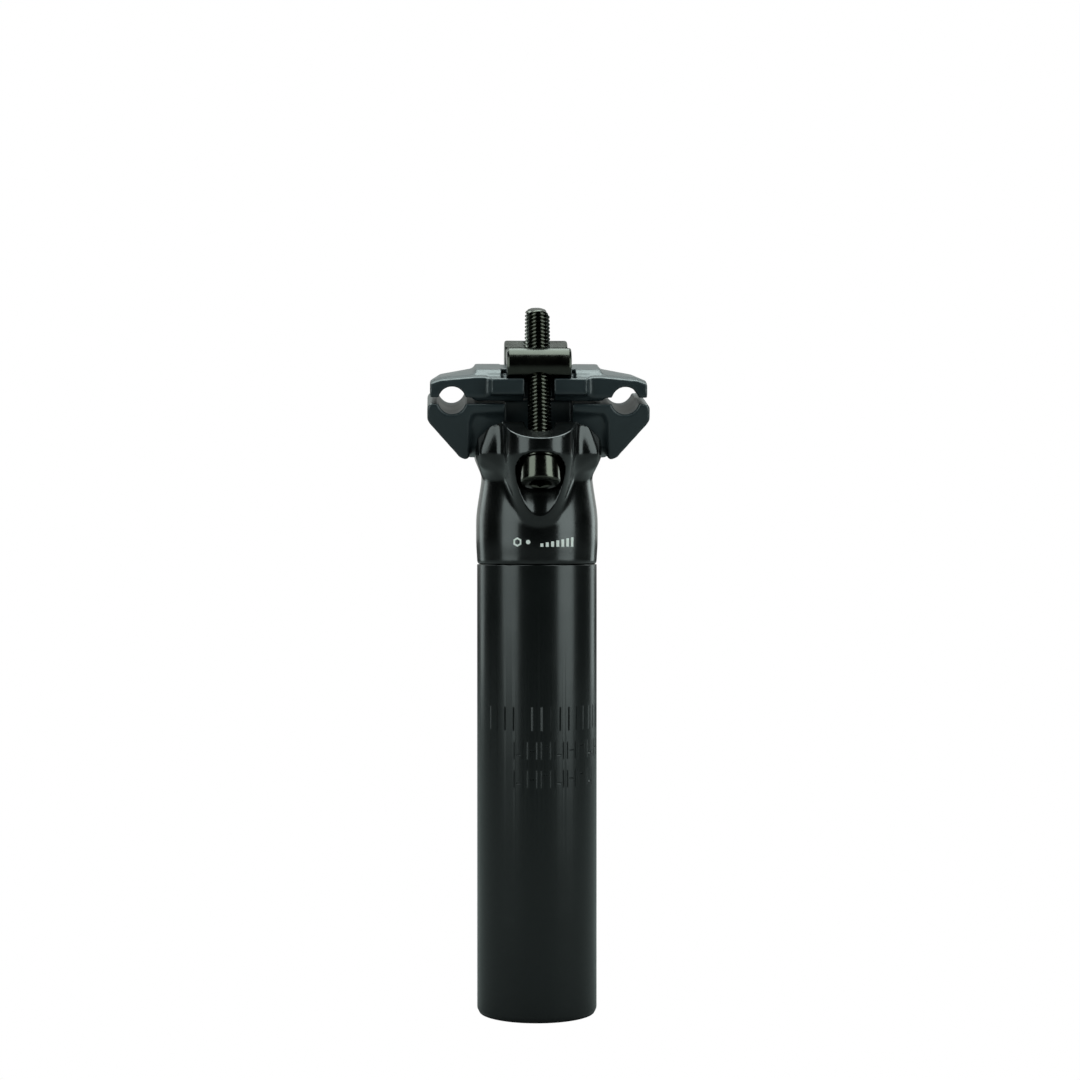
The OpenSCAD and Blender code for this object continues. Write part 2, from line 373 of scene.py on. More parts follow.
@dataclass(frozen=True)
class Finish:
    """A metal's finish, with each pattern's scale as a real size in millimetres.

    The colour drifts between base and second over mottle_mm. Roughness drifts by rough_spread over
    the same patches. The grain is a skin of bumps grain_mm wide and grain_deep_mm high, and is
    drawn out along an axis by stretch, as drawing or turning leaves it. The flecks are pits among
    the grain, as high as this share of it. The last field is painted shade in the rail grooves: the
    share of the gloss that is left on their walls, which darkens them.
    """

    name: str
    base: str
    second: str
    metallic: float
    roughness: float
    rough_spread: float
    mottle_mm: float
    grain_mm: float
    grain_deep_mm: float
    stretch: tuple[float, float, float] = (1.0, 1.0, 1.0)
    coat: float = 0.0
    coat_roughness: float = 0.2
    flecks: float = 0.0
    # Painted shade for the rail grooves: the share of gloss left on their walls, or None for none.
    dull_grooves: float | None = None

    def material(self) -> bpy.types.Material:
        """Returns the finish's material, made once."""
        ready = bpy.data.materials.get(self.name)
        if ready:
            return ready
        material = bpy.data.materials.new(self.name)
        material.use_nodes = True
        tree = material.node_tree
        shader = tree.nodes["Principled BSDF"]
        shader.inputs["Metallic"].default_value = self.metallic
        shader.inputs["Coat Weight"].default_value = self.coat
        shader.inputs["Coat Roughness"].default_value = self.coat_roughness
        place = add_node(tree, "TexCoord", {})
        patches = add_node(tree, "TexNoise", {
            "Vector": place.outputs["Object"], "Scale": 1 / (self.mottle_mm * MM),
            "Detail": 3.0, "Roughness": 0.55,
        })
        tint = add_node(tree, "Mix", {
            "Factor": patches.outputs[0],
        }, data_type="RGBA")
        tint.inputs[6].default_value = linear(self.base)
        tint.inputs[7].default_value = linear(self.second)
        tree.links.new(tint.outputs[2], shader.inputs["Base Color"])
        spread = add_node(tree, "MapRange", {
            "Value": patches.outputs[0], "From Min": 0.3, "From Max": 0.7,
            "To Min": self.roughness - self.rough_spread, "To Max": self.roughness + self.rough_spread,
        })
        tree.links.new(spread.outputs["Result"], shader.inputs["Roughness"])
        stretched = add_node(tree, "Mapping", {"Vector": place.outputs["Object"], "Scale": self.stretch})
        grain = add_node(tree, "TexNoise", {
            "Vector": stretched.outputs["Vector"], "Scale": 1 / (self.grain_mm * MM),
            "Detail": 2.0, "Roughness": 0.6,
        })
        height = grain.outputs[0]
        if self.flecks:
            specks = add_node(tree, "TexVoronoi", {
                "Vector": place.outputs["Object"], "Scale": 1 / (3 * self.grain_mm * MM),
            })
            pit = add_node(tree, "MapRange", {
                "Value": specks.outputs["Distance"], "From Min": 0.0, "From Max": 0.18,
                "To Min": self.flecks, "To Max": 0.0,
            })
            both = add_node(tree, "Math", {0: height, 1: pit.outputs["Result"]}, operation="ADD")
            height = both.outputs[0]
        bump = add_node(tree, "Bump", {
            "Height": height, "Distance": self.grain_deep_mm * MM, "Strength": 1.0,
        })
        tree.links.new(bump.outputs["Normal"], shader.inputs["Normal"])
        # The rail grooves get painted shade: their walls are darkened by taking most of their gloss away.
        if self.dull_grooves is not None:
            self._dull(tree, shader, place.outputs["Object"])
        return material

    def _dull(self, tree: bpy.types.NodeTree, shader: bpy.types.Node, place: bpy.types.NodeSocket) -> None:
        """Paints shade into the two rail grooves by taking most of the gloss off their walls.

        Args:
            tree: the material's tree.
            shader: its surface.
            place: the object's own coordinates.
        """
        lay = clamp_place().inverted()
        level = add_node(tree, "Mapping", {
            "Vector": place, "Location": lay.translation * MM, "Rotation": lay.to_euler(),
        })
        split = add_node(tree, "SeparateXYZ", {"Vector": level.outputs["Vector"]})
        out = add_node(tree, "Math", {0: split.outputs["X"]}, operation="ABSOLUTE")
        beside = add_node(tree, "Math", {0: out.outputs[0], 1: RAIL_X * MM}, operation="SUBTRACT")
        across = add_node(tree, "CombineXYZ", {"X": beside.outputs[0], "Y": split.outputs["Z"]})
        away = add_node(tree, "VectorMath", {0: across.outputs[0]}, operation="LENGTH")
        # Painted shade: inside a rail groove the specular and coat weights fall to this finish's share, which
        # darkens the walls.
        gloss = add_node(tree, "MapRange", {
            "Value": away.outputs["Value"], "From Min": (RAIL_R + 0.1) * MM,
            "From Max": (RAIL_R + 0.35) * MM, "To Min": self.dull_grooves, "To Max": 1.0,
        })
        for socket, full in (("Specular IOR Level", 0.5), ("Coat Weight", self.coat)):
            part = add_node(tree, "Math", {0: gloss.outputs["Result"], 1: full}, operation="MULTIPLY")
            tree.links.new(part.outputs[0], shader.inputs[socket])

    def dress(self, obj: bpy.types.Object) -> None:
        """Gives a piece or a part of the frame this finish."""
        obj.data.materials.clear()
        obj.data.materials.append(self.material())


# Black anodised 6061 tube: dyed oxide over drawn metal. It gives a soft, slightly blue sheen with
# faint lines along the tube, from the drawing.
ANODISED_TUBE = Finish(
    name="black_anodised_drawn_aluminium", base="0b0d0d", second="0f1212", metallic=0.0,
    roughness=0.23, rough_spread=0.03, mottle_mm=14.0, grain_mm=0.5, grain_deep_mm=0.004,
    stretch=(1.0, 1.0, 0.05),
)
# Forged aluminium under thin satin black paint: the forging's skin shows through as a fine orange
# peel with a few specks, and the paint gives it a second, wetter gloss.
PAINTED_FORGING = Finish(
    name="satin_black_painted_forging", base="070808", second="0c0d0d", metallic=0.0,
    roughness=0.21, rough_spread=0.04, mottle_mm=6.0, grain_mm=0.5, grain_deep_mm=0.012,
    coat=0.3, coat_roughness=0.14, flecks=0.4,
)
# Bead-blasted and anodised clamp halves: a dark bluish grey with an even, dry sheen.
BLASTED_CLAMP = Finish(
    name="blasted_black_anodised_aluminium", base="21282b", second="2a3235", metallic=0.0,
    roughness=0.33, rough_spread=0.04, mottle_mm=7.0, grain_mm=0.4, grain_deep_mm=0.008,
    # The rail grooves' walls keep little of their gloss: painted shade that darkens them.
    coat=0.15, coat_roughness=0.24, dull_grooves=0.12,
)
# Black-oxide steel: a conversion layer that leaves the metal's own sharp reflections, only darker.
BLACK_OXIDE = Finish(
    name="black_oxide_steel", base="4c4d46", second="5c5c54", metallic=1.0,
    roughness=0.18, rough_spread=0.03, mottle_mm=2.5, grain_mm=0.3, grain_deep_mm=0.0015,
)
# Oiled black-oxide nuts, a little drier and browner than the bolts.
OXIDE_NUT = Finish(
    name="black_oxide_turned_steel", base="3c3d38", second="4a4a44", metallic=1.0,
    roughness=0.22, rough_spread=0.04, mottle_mm=3.0, grain_mm=0.4, grain_deep_mm=0.002,
    stretch=(0.2, 1.0, 1.0),
)
# Pad-printed white ink: flat and faintly uneven.
WHITE_INK = Finish(
    name="white_pad_printed_ink", base="e8e8e2", second="f4f4ef", metallic=0.0,
    roughness=0.55, rough_spread=0.03, mottle_mm=1.0, grain_mm=0.2, grain_deep_mm=0.004,
)


def present(obj: bpy.types.Object, finish: Finish, body: str, slot: str, *nodes: str) -> None:
    """Dresses a piece, ties it to its body and hides the parts of the frame that it stands for.

    Args:
        obj: the piece.
        finish: its finish.
        body: the body that it moves with.
        slot: the record's material slot; not used.
        nodes: the parts of the frame that it replaces.
    """
    finish.dress(obj)
    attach(obj, body)
    if nodes:
        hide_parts(*nodes)
    LOG.info("%s: %d faces, %s", obj.name, len(obj.data.polygons), finish.name)


# ---------------------------------------------------------------- the post


@dataclass
class Tube:
    """The straight tube, with its engraved insertion marks and two rows of plain signs."""

    wall: float = 2.3
    end_chamfer: float = 0.55
    end_chamfer_h: float = 1.2
    seam: float = 0.14
    mark_z: float = 74.0
    mark_h: float = 6.0
    mark_half: float = 0.27
    mark_deep: float = 0.15
    mark_over: float = 0.1
    mark_step: float = 9.0
    mark_first: float = -52.0
    marks: int = 21
    sign_rows: tuple[float, float] = (66.8, 59.6)
    sign_first: float = -20.0
    sign_h: float = 4.4
    sign_w: float = 2.4
    sign_step: float = 13.0
    signs: int = 8
    sign_gap: float = 0.62
    radius: float = field(init=False)
    length: float = field(init=False)

    def __post_init__(self) -> None:
        """Takes the tube's outer size from the frame."""
        low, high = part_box("tube")
        self.radius = high.x * METRES_TO_MM
        self.length = high.z * METRES_TO_MM

    def _pipe(self) -> BMesh:
        """Returns the plain pipe, with a chamfer at its foot and a fine one at the seam."""
        outer, inner = self.radius, self.radius - self.wall
        bm = fresh()
        revolve(bm, [
            (inner, 0.35), (inner + 0.35, 0.0),
            (outer - self.end_chamfer - 0.15, 0.0), (outer - self.end_chamfer, 0.12),
            (outer - 0.06, self.end_chamfer_h - 0.1), (outer, self.end_chamfer_h + 0.3),
            (outer, self.length - self.seam), (outer - self.seam, self.length),
            (inner, self.length),
        ], steps=240, ring=True)
        return bm

    def _line(self, bm: BMesh, start: Point2, end: Point2, turn: Matrix) -> None:
        """Adds the cutter for one engraved line, whose two sloping walls meet at its bottom.

        Args:
            bm: the cutters' mesh.
            start: the line's beginning, across and up the wall.
            end: its other end.
            turn: its place round the tube.
        """
        first, last = Vector((start[0], 0, start[1])), Vector((end[0], 0, end[1]))
        wide = self.mark_half * (1 + self.mark_over / self.mark_deep)
        across = (last - first).normalized().cross(Vector((0, 1, 0))) * wide
        out = Vector((0, -self.radius - self.mark_over, 0))
        deep = Vector((0, self.mark_deep - self.radius, 0))
        points = [p + out + side * across for p in (first, last) for side in (-1, 1)]
        wrap(bm, [turn @ p for p in (*points, first + deep, last + deep)])

    def _engraving(self) -> BMesh:
        """Returns the cutters for the marks and signs, clear of one another."""
        bm = fresh()
        for i in range(self.marks):
            turn = Matrix.Rotation(math.radians(self.mark_first + i * self.mark_step), 4, "Z")
            self._line(bm, (0, self.mark_z), (0, self.mark_z + self.mark_h), turn)
        for row, z in enumerate(self.sign_rows):
            for i in range(self.signs - row):
                turn = Matrix.Rotation(math.radians(self.sign_first + i * self.sign_step), 4, "Z")
                self._sign(bm, z, i + 3 * row, turn)
        return bm

    def _sign(self, bm: BMesh, z: float, count: int, turn: Matrix) -> None:
        """Adds one of the engraved signs: two posts, with a plain bar that steps up and down.

        Args:
            bm: the cutters' mesh.
            z: the sign's foot.
            count: its place in the run, which sets the bar's height.
            turn: its place round the tube.
        """
        half, bar = self.sign_w / 2, self.sign_w / 2 - self.sign_gap
        level = z + (count % 3 + 1) * self.sign_h / 4
        for x in (-half, half):
            self._line(bm, (x, z), (x, z + self.sign_h), turn)
        self._line(bm, (-bar, level), (bar, level), turn)

    def build(self) -> None:
        """Makes the tube and puts it in the post."""
        blank = Blank(self._pipe(), "tube_skin").cut(self._engraving())
        present(blank.finish(Matrix.Identity(4), crease=12), ANODISED_TUBE, "post", "tube_anodised", "tube")


@dataclass
class Head:
    """The forged head: a skirt, a crown with a trough, and a leaning column for each bolt."""

    skirt_r: float = 15.73
    waist_r: float = 14.22
    crown_half: float = 16.1
    boss_r: float = 8.95
    boss_foot_r: float = 6.1
    boss_foot_y: float = 10.8
    boss_head_y: float = 15.6
    boss_foot_z: float = 127.6
    boss_slope: float = 25.0
    front_rim_z: float = 147.5
    lip_z: float = 151.55
    trough_r: float = 16.2
    pocket_r: float = 6.1
    slot_r: float = 3.7
    channel_reach: float = 8.0
    dome_r: float = 8.7
    key_r: float = 5.0
    wall: float = 2.3
    spigot_len: float = 24.0
    voxel: float = 0.3
    forging_voxel: float = 0.4
    forging_fillet: float = 1.8
    tube_r: float = field(init=False)
    seam_z: float = field(init=False)

    def __post_init__(self) -> None:
        """Takes the seam's place from the frame."""
        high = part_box("tube")[1]
        self.tube_r = high.x * METRES_TO_MM
        self.seam_z = high.z * METRES_TO_MM

    def _skirt_radius(self, z: float) -> float:
        """Returns the skirt's radius at a height: it swells from the seam and then necks in."""
        rise = ease((z - self.seam_z) / 6.5)
        fall = ease((z - self.seam_z - 10.5) / 14.0)
        return self.tube_r + (self.skirt_r - self.tube_r) * rise - (self.skirt_r - self.waist_r) * fall

    def _solids(self) -> BMesh:
        """Returns the skirt, the crown and the two columns, overlapping."""
        bm = fresh()
        top = self.seam_z + 30
        levels = [self.seam_z + 0.15 + i for i in range(30)]
        profile = [(0.0, self.seam_z), (self.tube_r - 0.15, self.seam_z)]
        profile += [(self._skirt_radius(z), z) for z in levels]
        revolve(bm, [*profile, (0.0, top - 0.85)], steps=160)
        corners = [
            (9.8, 14.9, self.lip_z), (12.3, 13.95, self.lip_z), (12.6, 15.2, 143.7),
            (15.0, 14.35, 143.7), (self.crown_half, 9.5, self.lip_z),
            (self.crown_half, 9.5, 143.4), (self.crown_half - 1.2, 10.5, 140.8),
        ]
        crown = [(sx * x, sy * y, z) for x, y, z in corners for sx in (-1, 1) for sy in (-1, 1)]
        wrap(bm, crown + disc(self.waist_r, 0, 0, self.seam_z + 22.5))
        for end in End:
            self._column(bm, end)
        return bm

    def _rim_z(self, end: End) -> float:
        """Returns the height of a column's outer rim, which rises with its bolt's seat."""
        lift = hinge(f"{end.word}_bolt_swing").at.z - hinge("front_bolt_swing").at.z
        return self.front_rim_z + lift

    def _column(self, bm: BMesh, end: End) -> None:
        """Adds a bolt's column, whose round wall leans out and then stands up to its rim."""
        side, rim = end.value, self._rim_z(end)
        points = disc(self.boss_foot_r, 0, side * self.boss_foot_y, self.boss_foot_z)
        points += disc(self.boss_r, 0, side * self.boss_head_y, rim - 4)
        points += disc(self.boss_r, 0, side * self.boss_head_y, rim + 6)
        points += disc(self.boss_r, 0, side, self.boss_foot_z) + disc(self.boss_r, 0, side, rim - 1)
        wrap(bm, points)

    def _cuts(self) -> list[BMesh]:
        """Returns what is cut out of the blended blank, one closed solid at a time."""
        cuts = []
        tilt = hinge("saddle_tilt").at
        across = Matrix.Translation(tilt) @ Matrix.Rotation(math.pi / 2, 4, "Y")
        trough = fresh()
        rod(trough, self.trough_r, 60, across @ Matrix.Translation((0, 0, -30)))
        cuts.append(trough)
        for end in End:
            side, rim, on = end.value, self._rim_z(end), bolt_axis(end)
            slope = Matrix.Translation((0, side * (self.boss_head_y + self.boss_r), rim))
            slope = slope @ Matrix.Rotation(math.radians(-side * self.boss_slope), 4, "X")
            sky = fresh()
            block(sky, (-self.boss_r - 0.4, -16 if side > 0 else -3, 0),
                  (self.boss_r + 0.4, 3 if side > 0 else 16, 30), slope)
            pocket = fresh()
            roof = [(self.pocket_r * i / 10, self._dome(self.pocket_r * i / 10)) for i in range(11)]
            revolve(pocket, [*roof, (self.pocket_r, -14.0), (0.0, -14.0)], steps=96)
            bmesh.ops.transform(pocket, matrix=on, verts=pocket.verts)
            slot = fresh()
            low, high = sorted((0.0, -side * self.channel_reach))
            rod(slot, self.slot_r, 40, on)
            channel = fresh()
            block(channel, (-self.slot_r, low, 13.5), (self.slot_r, high, 44), on)
            key = fresh()
            foot = Vector((0, side * (15.2 + self.key_r), hinge(f"{end.word}_bolt_swing").at.z + 1.5))
            lean = Matrix.Translation(foot) @ Matrix.Rotation(math.radians(side * 11.5), 4, "X")
            rod(key, self.key_r, 14, lean @ Matrix.Translation((0, 0, -14)))
            cuts += [sky, pocket, slot, channel, key]
        return cuts

    def _dome(self, radius: float) -> float:
        """Returns how high the domed seat stands over a bolt head's outer face."""
        return math.sqrt(self.dome_r ** 2 - radius ** 2)

    def _spigot(self) -> None:
        """Makes the hollow spigot that the head is bonded into the tube by."""
        outer, inner, foot = self.tube_r - self.wall - 0.02, 9.0, self.seam_z - self.spigot_len
        bm = fresh()
        revolve(bm, [
            (inner, foot), (outer - 0.8, foot), (outer, foot + 1.5), (outer, self.seam_z + 0.4),
            (0.0, self.seam_z + 0.4), (0.0, self.seam_z - 1), (inner - 2, self.seam_z - 1),
            (inner, self.seam_z - 3),
        ], steps=96)
        spigot = Blank(bm, "head_spigot").finish(Matrix.Identity(4), crease=35)
        present(spigot, PAINTED_FORGING, "post", "head_painted")

    def build(self) -> None:
        """Makes the head and its spigot."""
        blank = Blank(self._solids(), "head_forging").melt(self.forging_voxel)
        blank.fill_creases(self.forging_fillet, self.forging_voxel).relax(4)
        for tool in self._cuts():
            blank.cut(tool)
        blank.melt(self.voxel).relax(4)
        present(blank.finish(Matrix.Identity(4)), PAINTED_FORGING, "post", "head_painted", "head")
        self._spigot()


@dataclass
class SkirtPrint:
    """The white print on the skirt: a hexagon ring, a dot and a rising row of bars."""

    height: float = 2.4
    thick: float = 0.03
    centre_z: float = 121.7
    ring_x: float = -5.7
    ring_wide: float = 0.42
    dot_x: float = -2.9
    dot_r: float = 0.55
    bars_x: float = 0.2
    bar_w: float = 0.75
    bar_gap: float = 0.62
    bars: int = 7
    bar_low: float = 0.35

    def _flat(self) -> BMesh:
        """Returns the print laid flat: x along the skirt, y through it and z up."""
        bm = fresh()
        upright = Matrix.Rotation(math.pi / 2, 4, "X")
        made = bmesh.ops.create_circle(
            bm, cap_ends=True, segments=6, radius=self.height / 2,
            matrix=Matrix.Translation((self.ring_x, 0, 0)) @ upright,
        )
        middle = list({f for v in made["verts"] for f in v.link_faces})
        bmesh.ops.inset_individual(bm, faces=middle, thickness=self.ring_wide, use_even_offset=True)
        bmesh.ops.delete(bm, geom=middle, context="FACES_ONLY")
        for i in range(self.bars):
            left = self.bars_x + i * (self.bar_w + self.bar_gap)
            top = self.height * (self.bar_low + (1 - self.bar_low) * i / (self.bars - 1))
            corners = [(left, 0.0), (left + self.bar_w, 0.0), (left + self.bar_w, top), (left, top)]
            bm.faces.new([bm.verts.new((x, 0.0, z - self.height / 2)) for x, z in corners])
        bmesh.ops.create_circle(
            bm, cap_ends=True, segments=20, radius=self.dot_r,
            matrix=Matrix.Translation((self.dot_x, 0, 0)) @ upright,
        )
        return bm

    def build(self) -> None:
        """Makes the print, bent to the skirt."""
        radius = Head().skirt_r + 0.012
        bm = self._flat()
        bmesh.ops.subdivide_edges(bm, edges=bm.edges, cuts=2, use_grid_fill=True)
        out = bmesh.ops.extrude_face_region(bm, geom=list(bm.faces))
        fronts = [g for g in out["geom"] if isinstance(g, bmesh.types.BMVert)]
        bmesh.ops.translate(bm, verts=fronts, vec=(0, -self.thick, 0))
        for vert in bm.verts:
            angle, reach = vert.co.x / radius, radius - vert.co.y
            vert.co = (reach * math.sin(angle), -reach * math.cos(angle), self.centre_z + vert.co.z)
        obj = Blank(bm, "skirt_print").finish(Matrix.Identity(4), crease=35)
        present(obj, WHITE_INK, "post", "head_painted")


# ---------------------------------------------------------------- the clamp


@dataclass
class Cradle:
    """The lower half of the clamp: a rocking barrel between two hanging wings."""

    half_l: float = 12.0
    top: float = -0.8
    wing_in: float = 17.55
    wing_out: float = 28.28
    barrel_r: float = 16.1
    voxel: float = 0.3

    def _wing(self) -> list[Point2]:
        """Returns a wing's outline seen from the front, with a true arc for the rail."""
        half = math.degrees(math.acos(-self.top / RAIL_R))
        groove = arc(RAIL_R, (RAIL_X, 0), 270 + half, 270 - half, 24)
        return [
            (self.wing_in - 0.6, -3.7), (self.wing_in - 0.6, self.top), *reversed(groove),
            (self.wing_out - 0.7, self.top), (self.wing_out, self.top - 0.8),
            (self.wing_out, -4.9), (self.wing_out - 0.5, -5.8), (20.0, -14.6), (18.9, -15.05),
            (self.wing_in + 0.5, -15.05), (self.wing_in, -14.5), (self.wing_in, -5.6),
        ]

    def _solids(self) -> BMesh:
        """Returns the barrel, the bar over it and the wings, overlapping."""
        bm = fresh()
        wing = self._wing()
        prism(bm, wing, View.FRONT, -self.half_l, self.half_l)
        prism(bm, [(-x, z) for x, z in wing], View.FRONT, -self.half_l, self.half_l)
        reach = self.wing_in + 0.3
        low, keep = -self.half_l + 1.2, self.half_l - 1.2
        start = 180 + math.degrees(math.acos(keep / self.barrel_r))
        belly = arc(self.barrel_r, (0, 0), start, 540 - start, 40)
        prism(bm, [(low, self.top), *belly, (keep, self.top)], View.SIDE, -reach, reach)
        bar = [(-self.half_l, -2.9), (-self.half_l + 0.9, -3.8), (self.half_l - 0.9, -3.8),
               (self.half_l, -2.9), (self.half_l, self.top), (-self.half_l, self.top)]
        prism(bm, bar, View.SIDE, -reach, reach)
        return bm

    def _cuts(self) -> list[BMesh]:
        """Returns the bolts' slots and the wider hollows over them."""
        cuts = []
        for end in End:
            side = Matrix.Rotation(math.pi if end is End.REAR else 0.0, 4, "Z")
            slot = fresh()
            block(slot, (-4.4, -20, -20), (4.4, -7.6, 10), side)
            hollow = fresh()
            block(hollow, (-8.6, -20, -9), (8.6, -5, 10), side)
            cuts += [slot, hollow]
        return cuts

    def build(self) -> None:
        """Makes the cradle and puts it in the clamp."""
        blank = Blank(self._solids(), "cradle_forging").melt(self.voxel).fill_creases(0.9, self.voxel)
        for tool in self._cuts():
            blank.cut(tool)
        for x in (-RAIL_X, RAIL_X):
            blank.cut(rail_cutter(x))
        blank.melt(self.voxel).relax(4)
        present(blank.finish(clamp_place()), BLASTED_CLAMP, "clamp", "clamp_painted", "cradle")


@dataclass
class UpperClamp:
    """The upper half of the clamp: wings over the rails, and fingers that carry the nuts."""

    half_l: float = 12.0
    bottom: float = 0.75
    deck_top: float = 7.4
    deck_edge: float = 6.6
    pad_half: float = 16.4
    pad_l: float = 11.2
    pad_low: float = -0.2
    front_lean: float = 0.5
    crown: float = 0.5
    crown_run: float = 3.5
    finger_y: float = 14.15
    finger_in: float = 3.8
    finger_out: float = 12.2
    finger_low: float = 1.9
    finger_top: float = 5.9
    notch_half: float = 9.4
    web: float = 4.9
    seat_r: float = 4.55
    voxel: float = 0.28

    def _wing_section(self, x: float, rear: float, front_z: float, rear_z: float) -> list[Point3]:
        """Returns a wing's side view at one station.

        Args:
            x: the station.
            rear: how far back it reaches.
            front_z: the height of its front edge.
            rear_z: the height of its rear edge.

        Returns:
            Its corners: the front leans back a little, and the top is crowned.
        """
        return [
            (x, -self.half_l, self.bottom), (x, self.front_lean - self.half_l, front_z),
            (x, self.crown_run - self.half_l, front_z + self.crown),
            (x, rear - self.crown_run, rear_z + self.crown),
            (x, rear, rear_z), (x, rear, self.bottom),
        ]

    def _solids(self) -> BMesh:
        """Returns the deck, the fingers and the wings, overlapping."""
        bm = fresh()
        deck = [(8.8, self.bottom), (8.8, self.deck_edge), (6.5, self.deck_top)]
        outline = deck + [(-y, z) for y, z in reversed(deck)]
        prism(bm, outline, View.SIDE, -16, 16)
        block(bm, (-self.pad_half, -self.pad_l, self.pad_low), (self.pad_half, self.pad_l, 2), Matrix())
        leant = self.finger_y - self.front_lean
        finger = [(10.0, self.bottom), (self.finger_y, self.finger_low), (leant, self.finger_top)]
        prism(bm, finger + [(-y, z) for y, z in reversed(finger)], View.SIDE,
              -self.finger_out, self.finger_out)
        for side in (-1, 1):
            points = self._wing_section(side * 13, 12.0, 5.9, 5.6)
            points += self._wing_section(side * 16, 12.0, 5.9, 5.6)
            points += self._wing_section(side * 25, 11.4, 5.1, 4.0)
            points += self._wing_section(side * 27.6, 5.0, 4.2, 3.0)
            wrap(bm, points)
        return bm

    def _cuts(self) -> list[BMesh]:
        """Returns the nuts' seats, the notches over them, the bolt slots and the rail grooves."""
        cuts = []
        for end in End:
            side = Matrix.Rotation(math.pi if end is End.REAR else 0.0, 4, "Z")
            notch = fresh()
            block(notch, (-self.notch_half, -25, self.finger_top), (self.notch_half, -self.web, 16), side)
            slot = fresh()
            block(slot, (-self.finger_in, -25, -5), (self.finger_in, -5.9, 16), side)
            nut = clamp_place().inverted() @ hinge(f"{end.word}_nut_pivot").at
            across = Matrix.Translation(nut) @ Matrix.Rotation(math.pi / 2, 4, "Y")
            seat = fresh()
            rod(seat, self.seat_r, 2 * self.notch_half,
                across @ Matrix.Translation((0, 0, -self.notch_half)))
            cuts += [notch, seat, slot]
        return [*cuts, rail_cutter(-RAIL_X), rail_cutter(RAIL_X)]

    def build(self) -> None:
        """Makes the upper clamp and puts it in the clamp."""
        blank = Blank(self._solids(), "upper_clamp_forging").melt(self.voxel).fill_creases(1.0, self.voxel)
        for tool in self._cuts():
            blank.cut(tool)
        blank.melt(self.voxel).relax(4)
        present(blank.finish(clamp_place()), BLASTED_CLAMP, "clamp", "clamp_painted", "upper_clamp")


# ---------------------------------------------------------------- the fasteners


@dataclass
class CapScrew:
    """An M6 socket-head cap screw, threaded all along."""

    end: End
    major_r: float = 2.98
    pitch: float = 1.0
    thread_deep: float = 0.61
    head_r: float = 5.0
    head_h: float = 6.0
    length: float = 40.0
    hex_across: float = 5.0
    hex_deep: float = 3.2
    around: int = 48
    rows: int = 8

    def _crest(self, row: int) -> float:
        """Returns the thread's radius along one pitch: flat crest, flank, flat root, flank."""
        depth = (0.0, 0.0, 1 / 3, 2 / 3, 1.0, 1.0, 2 / 3, 1 / 3)[row % self.rows]
        return self.major_r - self.thread_deep * depth

    def _thread(self, low: float, high: float) -> BMesh:
        """Returns a threaded rod from a level grid that is rolled up along the helix.

        Args:
            low: the height that the thread starts at.
            high: the height of the screw's tip.

        Returns:
            The closed rod.
        """
        bm = fresh()
        turns = math.ceil((high - low) / self.pitch) + 2
        tall = turns * self.rows
        bmesh.ops.create_grid(bm, x_segments=self.around, y_segments=tall, size=0.5)
        core = self.major_r - self.thread_deep
        for vert in bm.verts:
            u, v = vert.co.x + 0.5, vert.co.y + 0.5
            row = round(v * tall)
            z = low + self.pitch * (row / self.rows + u - 1)
            radius = self._crest(row)
            if z >= high or z <= low:
                z = min(max(z, low), high)
                radius = core - (0.12 if z >= high else 0.0)
            radius = min(radius, core + (high - z) * 0.9)
            angle = 2 * math.pi * u
            vert.co = (radius * math.cos(angle), radius * math.sin(angle), z)
        bmesh.ops.remove_doubles(bm, verts=bm.verts, dist=1e-3)
        rims = [e for e in bm.edges if len(e.link_faces) == 1]
        bmesh.ops.holes_fill(bm, edges=rims)
        bmesh.ops.recalc_face_normals(bm, faces=bm.faces)
        return bm

    def _head(self) -> BMesh:
        """Returns the head, with a chamfered outer edge and a radius under it."""
        bm = fresh()
        revolve(bm, [
            (0.0, 0.0), (self.head_r - 0.75, 0.0), (self.head_r - 0.25, 0.2),
            (self.head_r - 0.05, 0.55), (self.head_r, 0.9), (self.head_r, self.head_h - 0.2),
            (self.head_r - 0.2, self.head_h), (self.major_r + 0.25, self.head_h),
            (self.major_r, self.head_h + 0.25), (self.major_r - 0.1, self.head_h + 1.2),
            (0.0, self.head_h + 1.2),
        ], steps=96)
        return bm

    @property
    def _hex_corner(self) -> float:
        """The distance from the socket's middle to its corners."""
        return self.hex_across / 2 / math.cos(math.pi / 6)

    def _socket(self) -> BMesh:
        """Returns the hexagon socket's cutter."""
        bm = fresh()
        bmesh.ops.create_cone(
            bm, cap_ends=True, segments=6, radius1=self._hex_corner, radius2=self._hex_corner,
            depth=self.hex_deep + 1, matrix=Matrix.Translation((0, 0, (self.hex_deep - 1) / 2)),
        )
        return bm

    def _mouth(self) -> BMesh:
        """Returns the cutter for the countersink round the socket's mouth."""
        bm = fresh()
        corner = self._hex_corner
        revolve(bm, [(0.0, -0.5), (corner + 0.7, -0.5), (corner - 0.35, 0.35), (0.0, 0.35)], steps=64)
        return bm

    def build(self) -> None:
        """Makes the screw and puts it in its own body."""
        name = f"{self.end.word}_bolt"
        blank = Blank(self._head(), f"{name}_screw").cut(self._socket()).cut(self._mouth())
        blank.add(self._thread(self.head_h + 0.9, self.head_h + self.length))
        present(blank.finish(bolt_axis(self.end), crease=28), BLACK_OXIDE, name, "bolt_steel", name)


